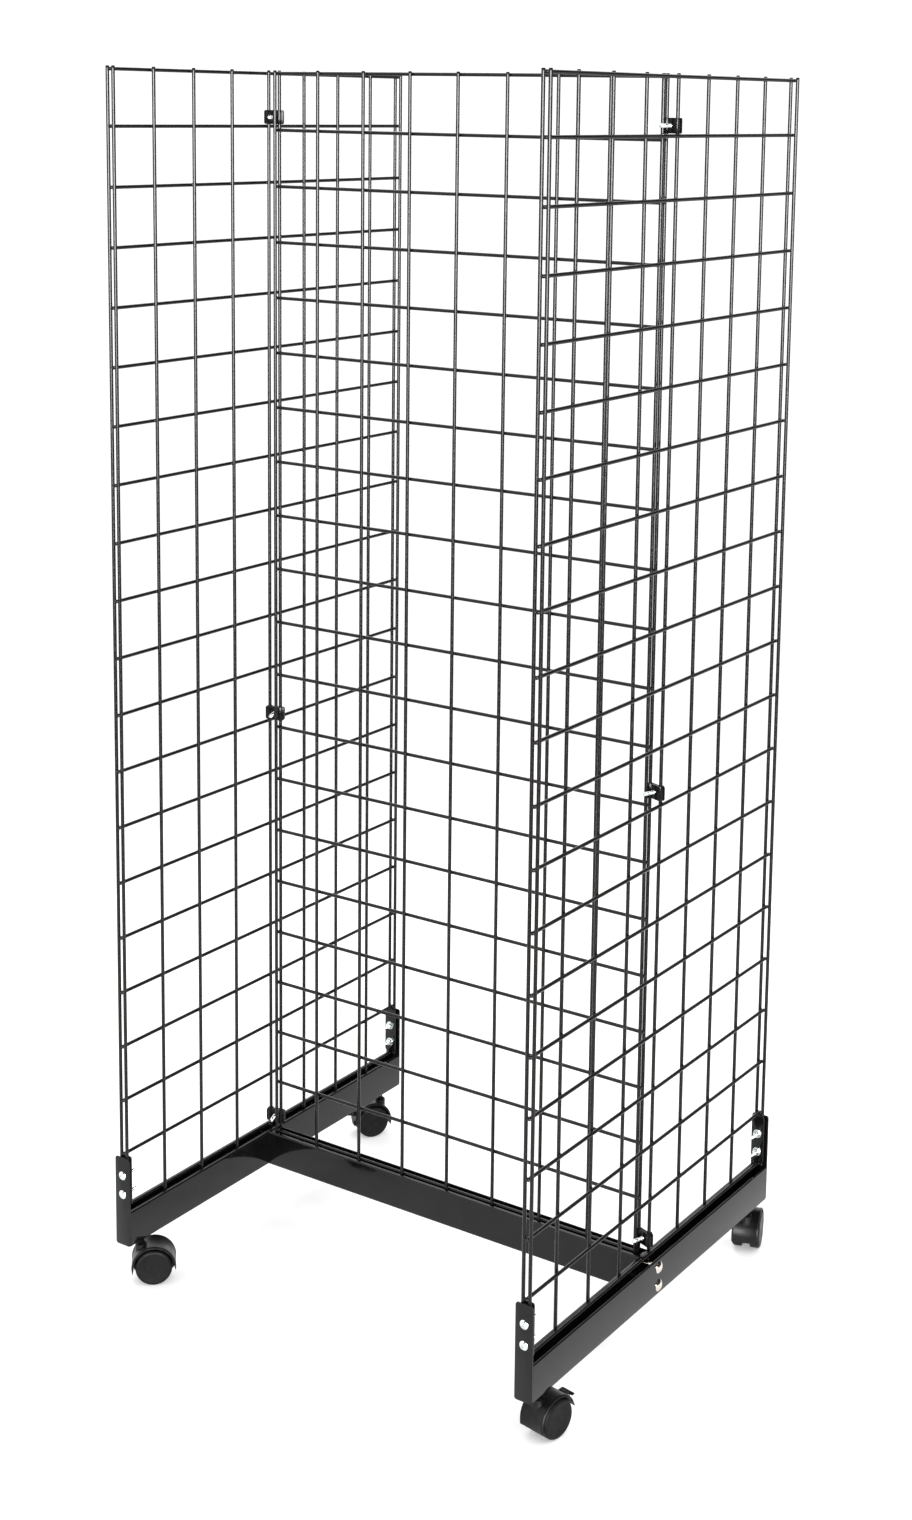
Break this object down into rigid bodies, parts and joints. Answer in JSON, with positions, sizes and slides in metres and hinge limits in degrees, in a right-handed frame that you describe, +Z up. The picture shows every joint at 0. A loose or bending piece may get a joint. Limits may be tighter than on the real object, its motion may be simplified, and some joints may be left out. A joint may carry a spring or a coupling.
{
  "type": "gridwall display stand",
  "caption": "H-shaped freestanding shop display stand of black wire grid panels joined by bolted clips, in a channel base on hooded twin-wheel casters, some with a brake.",
  "frame": {"origin": "on the floor under the middle of the stand", "axes": "+Z up, +X to the right along the centre panel as seen from the front, +Y to the back"},
  "size_m": [0.7149, 0.6318, 1.643],
  "materials": {
    "grid_wire": "semi-gloss black powder coat on round wire",
    "base_steel": "semi-gloss black powder coat on folded sheet steel",
    "clip_steel": "black coated stamped steel",
    "zinc": "bright blue-white zinc plate",
    "nickel": "polished nickel, slightly warm",
    "hood_plastic": "satin black moulded nylon",
    "wheel_plastic": "fine-textured black moulded nylon"
  },
  "bodies": {
    "frame": {"panel_left_uprights": "grid_wire", "panel_left_edges": "grid_wire", "panel_left_cross": "grid_wire", "panel_right_uprights": "grid_wire", "panel_right_edges": "grid_wire", "panel_right_cross": "grid_wire", "panel_centre_uprights": "grid_wire", "panel_centre_edges": "grid_wire", "panel_centre_cross": "grid_wire", "rail_left": "base_steel", "rail_right": "base_steel", "rail_cross": "base_steel", "end_plate_left_front": "base_steel", "clamp_bar_left_front": "base_steel", "end_plate_left_back": "base_steel", "clamp_bar_left_back": "base_steel", "end_screws_left": "zinc", "end_nuts_left": "zinc", "rail_bolts_left": "nickel", "rail_nuts_left": "zinc", "clip_fronts_left": "clip_steel", "clip_backs_left": "clip_steel", "clip_bolts_left": "zinc", "end_plate_right_front": "base_steel", "clamp_bar_right_front": "base_steel", "end_plate_right_back": "base_steel", "clamp_bar_right_back": "base_steel", "end_screws_right": "zinc", "end_nuts_right": "zinc", "rail_bolts_right": "nickel", "rail_nuts_right": "zinc", "clip_fronts_right": "clip_steel", "clip_backs_right": "clip_steel", "clip_bolts_right": "zinc", "caster_fl_stem": "clip_steel", "caster_fr_stem": "clip_steel", "caster_bl_stem": "clip_steel", "caster_br_stem": "clip_steel"},
    "caster_fl": {"caster_fl_hood": "hood_plastic", "caster_fl_axle": "zinc"},
    "wheel_fl_a": {"caster_fl_wheel_a": "wheel_plastic"},
    "wheel_fl_b": {"caster_fl_wheel_b": "wheel_plastic"},
    "caster_fr": {"caster_fr_hood": "hood_plastic", "caster_fr_axle": "zinc", "caster_fr_pedal_pin": "zinc"},
    "wheel_fr_a": {"caster_fr_wheel_a": "wheel_plastic"},
    "wheel_fr_b": {"caster_fr_wheel_b": "wheel_plastic"},
    "pedal_fr": {"caster_fr_pedal": "hood_plastic"},
    "caster_bl": {"caster_bl_hood": "hood_plastic", "caster_bl_axle": "zinc", "caster_bl_pedal_pin": "zinc"},
    "wheel_bl_a": {"caster_bl_wheel_a": "wheel_plastic"},
    "wheel_bl_b": {"caster_bl_wheel_b": "wheel_plastic"},
    "pedal_bl": {"caster_bl_pedal": "hood_plastic"},
    "caster_br": {"caster_br_hood": "hood_plastic", "caster_br_axle": "zinc"},
    "wheel_br_a": {"caster_br_wheel_a": "wheel_plastic"},
    "wheel_br_b": {"caster_br_wheel_b": "wheel_plastic"}
  },
  "joints": [
    {"name": "swivel_fl", "type": "hinge", "parent": "frame", "child": "caster_fl", "pos_m": [-0.3238, -0.272, 0.0542], "axis": [0, 0, 1], "continuous": true},
    {"name": "roll_fl_a", "type": "hinge", "parent": "caster_fl", "child": "wheel_fl_a", "pos_m": [-0.31117, -0.26062, 0.025], "axis": [-0.6691, 0.7431, 0], "continuous": true},
    {"name": "roll_fl_b", "type": "hinge", "parent": "caster_fl", "child": "wheel_fl_b", "pos_m": [-0.31117, -0.26062, 0.025], "axis": [-0.6691, 0.7431, 0], "continuous": true},
    {"name": "swivel_fr", "type": "hinge", "parent": "frame", "child": "caster_fr", "pos_m": [0.3238, -0.272, 0.0542], "axis": [0, 0, 1], "continuous": true},
    {"name": "roll_fr_a", "type": "hinge", "parent": "caster_fr", "child": "wheel_fr_a", "pos_m": [0.32675, -0.25526, 0.025], "axis": [-0.9848, 0.1736, 0], "continuous": true},
    {"name": "roll_fr_b", "type": "hinge", "parent": "caster_fr", "child": "wheel_fr_b", "pos_m": [0.32675, -0.25526, 0.025], "axis": [-0.9848, 0.1736, 0], "continuous": true},
    {"name": "brake_fr", "type": "hinge", "parent": "caster_fr", "child": "pedal_fr", "pos_m": [0.33196, -0.22571, 0.039], "axis": [-0.9848, 0.1736, 0], "range_deg": [0, 25]},
    {"name": "swivel_bl", "type": "hinge", "parent": "frame", "child": "caster_bl", "pos_m": [-0.3238, 0.272, 0.0542], "axis": [0, 0, 1], "continuous": true},
    {"name": "roll_bl_a", "type": "hinge", "parent": "caster_bl", "child": "wheel_bl_a", "pos_m": [-0.33331, 0.25791, 0.025], "axis": [0.829, -0.5592, 0], "continuous": true},
    {"name": "roll_bl_b", "type": "hinge", "parent": "caster_bl", "child": "wheel_bl_b", "pos_m": [-0.33331, 0.25791, 0.025], "axis": [0.829, -0.5592, 0], "continuous": true},
    {"name": "brake_bl", "type": "hinge", "parent": "caster_bl", "child": "pedal_bl", "pos_m": [-0.35008, 0.23303, 0.039], "axis": [0.829, -0.5592, 0], "range_deg": [0, 25]},
    {"name": "swivel_br", "type": "hinge", "parent": "frame", "child": "caster_br", "pos_m": [0.3238, 0.272, 0.0542], "axis": [0, 0, 1], "continuous": true},
    {"name": "roll_br_a", "type": "hinge", "parent": "caster_br", "child": "wheel_br_a", "pos_m": [0.31827, 0.28807, 0.025], "axis": [-0.9455, -0.3256, 0], "continuous": true},
    {"name": "roll_br_b", "type": "hinge", "parent": "caster_br", "child": "wheel_br_b", "pos_m": [0.31827, 0.28807, 0.025], "axis": [-0.9455, -0.3256, 0], "continuous": true}
  ]
}
